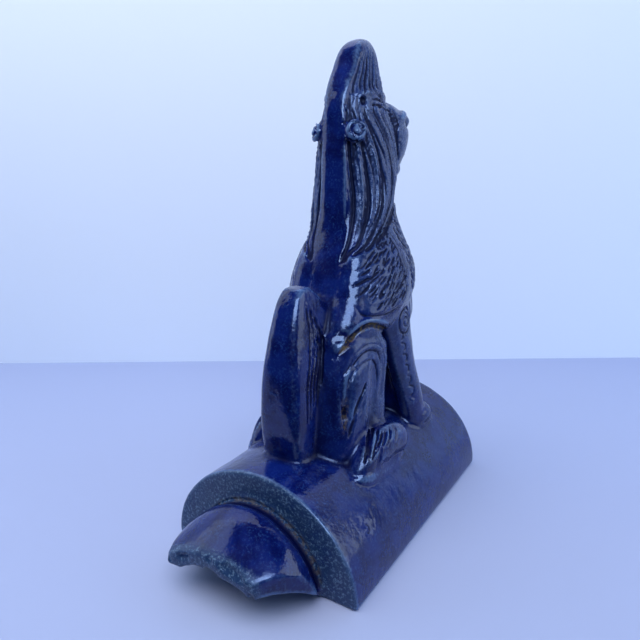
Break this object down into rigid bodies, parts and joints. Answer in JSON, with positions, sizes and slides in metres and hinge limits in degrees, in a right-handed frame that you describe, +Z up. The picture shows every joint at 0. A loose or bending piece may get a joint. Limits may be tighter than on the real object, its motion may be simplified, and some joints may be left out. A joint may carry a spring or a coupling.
{
  "type": "ridge beast ornament",
  "caption": "Glazed ceramic half-round ridge tile with a seated maned guardian beast modelled in one piece with it, and a drooping tongue for the next tile.",
  "frame": {"origin": "on the ground under the middle of the whole length, tongue included, on the middle plane", "axes": "+Z up, -Y the way the beast faces, +Y towards the tongue, +X to the beast's left"},
  "size_m": [0.13, 0.229, 0.303],
  "materials": {
    "cobalt_glaze": "glossy mottled cobalt blue ceramic glaze, thin and teal on the worn edges"
  },
  "bodies": {
    "root": {"ridge_beast_tile": "cobalt_glaze"}
  },
  "joints": []
}
